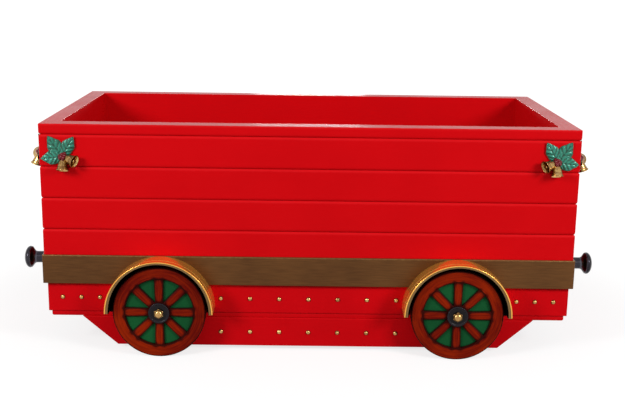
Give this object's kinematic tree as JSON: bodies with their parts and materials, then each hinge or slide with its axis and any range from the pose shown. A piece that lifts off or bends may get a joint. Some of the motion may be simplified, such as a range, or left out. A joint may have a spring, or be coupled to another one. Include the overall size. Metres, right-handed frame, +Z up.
{
  "type": "display goods wagon",
  "caption": "Open-topped plank-sided toy goods wagon for display, with turning spoked wheels, wheel arches, buffers and holly trim; its box holds presents or plants.",
  "frame": {"origin": "on the ground, under the centre of the wagon", "axes": "+X along the wagon from its left end to its right end, +Y from the front side to the back side, +Z up"},
  "size_m": [1.335, 0.706, 0.524],
  "materials": {
    "red_paint": "satin red paint",
    "dark_red_paint": "satin dark red paint",
    "gold_paint": "satin antique gold paint",
    "gilt": "polished gilt",
    "wheel_wood": "antiqued red-brown",
    "green_paint": "matt green paint",
    "black_lacquer": "gloss black",
    "brass": "aged brass",
    "axle_steel": "bright drawn",
    "holly_enamel": "metallic enamel"
  },
  "bodies": {
    "wagon": {"floor_board": "red_paint", "front_plank_1": "red_paint", "front_plank_2": "red_paint", "front_plank_3": "red_paint", "front_plank_4": "red_paint", "back_plank_1": "red_paint", "back_plank_2": "red_paint", "back_plank_3": "red_paint", "back_plank_4": "red_paint", "left_end_panel": "red_paint", "right_end_panel": "red_paint", "front_rim": "red_paint", "front_belt_board": "gold_paint", "front_sole_bar": "dark_red_paint", "right_rim": "red_paint", "right_belt_board": "gold_paint", "right_sole_bar": "dark_red_paint", "back_rim": "red_paint", "back_belt_board": "gold_paint", "back_sole_bar": "dark_red_paint", "left_rim": "red_paint", "left_belt_board": "gold_paint", "left_sole_bar": "dark_red_paint", "base_board": "dark_red_paint", "front_skirt": "dark_red_paint", "back_skirt": "dark_red_paint", "left_axle": "axle_steel", "right_axle": "axle_steel", "front_left_cap_nut": "brass", "front_left_wheel_arch": "gilt", "front_right_cap_nut": "brass", "front_right_wheel_arch": "gilt", "back_left_cap_nut": "brass", "back_left_wheel_arch": "gilt", "back_right_cap_nut": "brass", "back_right_wheel_arch": "gilt", "left_front_buffer": "black_lacquer", "left_back_buffer": "black_lacquer", "right_front_buffer": "black_lacquer", "right_back_buffer": "black_lacquer", "front_left_holly": "holly_enamel", "left_front_holly": "holly_enamel", "front_right_holly": "holly_enamel", "right_front_holly": "holly_enamel", "back_left_holly": "holly_enamel", "left_back_holly": "holly_enamel", "back_right_holly": "holly_enamel", "right_back_holly": "holly_enamel"},
    "front_left_wheel": {"front_left_wheel": "wheel_wood", "front_left_wheel_panel": "green_paint", "front_left_hub": "black_lacquer"},
    "front_right_wheel": {"front_right_wheel": "wheel_wood", "front_right_wheel_panel": "green_paint", "front_right_hub": "black_lacquer"},
    "back_left_wheel": {"back_left_wheel": "wheel_wood", "back_left_wheel_panel": "green_paint", "back_left_hub": "black_lacquer"},
    "back_right_wheel": {"back_right_wheel": "wheel_wood", "back_right_wheel_panel": "green_paint", "back_right_hub": "black_lacquer"}
  },
  "joints": [
    {"name": "front_left_wheel_spin", "type": "hinge", "parent": "wagon", "child": "front_left_wheel", "pos_m": [-0.336, -0.3245, 0.1045], "axis": [0, 1, 0], "continuous": true},
    {"name": "front_right_wheel_spin", "type": "hinge", "parent": "wagon", "child": "front_right_wheel", "pos_m": [0.336, -0.3245, 0.1045], "axis": [0, 1, 0], "continuous": true},
    {"name": "back_left_wheel_spin", "type": "hinge", "parent": "wagon", "child": "back_left_wheel", "pos_m": [-0.336, 0.3245, 0.1045], "axis": [0, 1, 0], "continuous": true},
    {"name": "back_right_wheel_spin", "type": "hinge", "parent": "wagon", "child": "back_right_wheel", "pos_m": [0.336, 0.3245, 0.1045], "axis": [0, 1, 0], "continuous": true}
  ]
}
